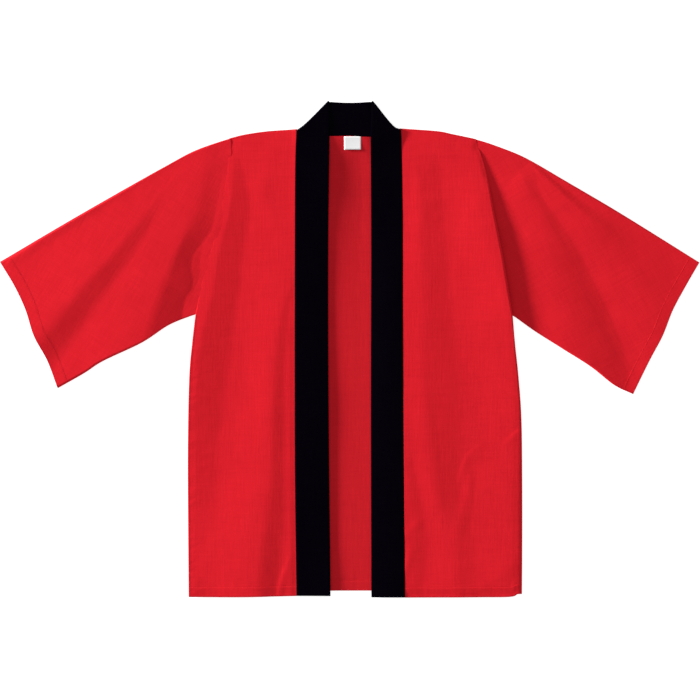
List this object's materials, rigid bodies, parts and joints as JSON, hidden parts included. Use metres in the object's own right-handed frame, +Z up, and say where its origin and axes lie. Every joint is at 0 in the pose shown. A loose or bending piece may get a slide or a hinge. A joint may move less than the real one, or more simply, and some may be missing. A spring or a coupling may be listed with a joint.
{
  "type": "happi coat laid flat",
  "caption": "Open-fronted straight-cut cotton coat with wide half-length sleeves and a plain contrasting collar band, laid flat front side up.",
  "frame": {"origin": "centre of the coat's outline on the plane it lies on", "axes": "+X towards the wearer's left sleeve, +Y from hem to collar, +Z up from the surface, out of the coat's front"},
  "size_m": [1.196, 0.8489, 0.0105],
  "materials": {
    "red_cotton": "matte plain-weave cotton",
    "black_cotton": "matte cotton, doubled and pressed",
    "label_tape": "white woven tape"
  },
  "bodies": {
    "root": {"back": "red_cotton", "front_right": "red_cotton", "front_left": "red_cotton", "sleeve_right": "red_cotton", "sleeve_left": "red_cotton", "collar": "black_cotton", "neck_label": "label_tape"}
  },
  "joints": []
}
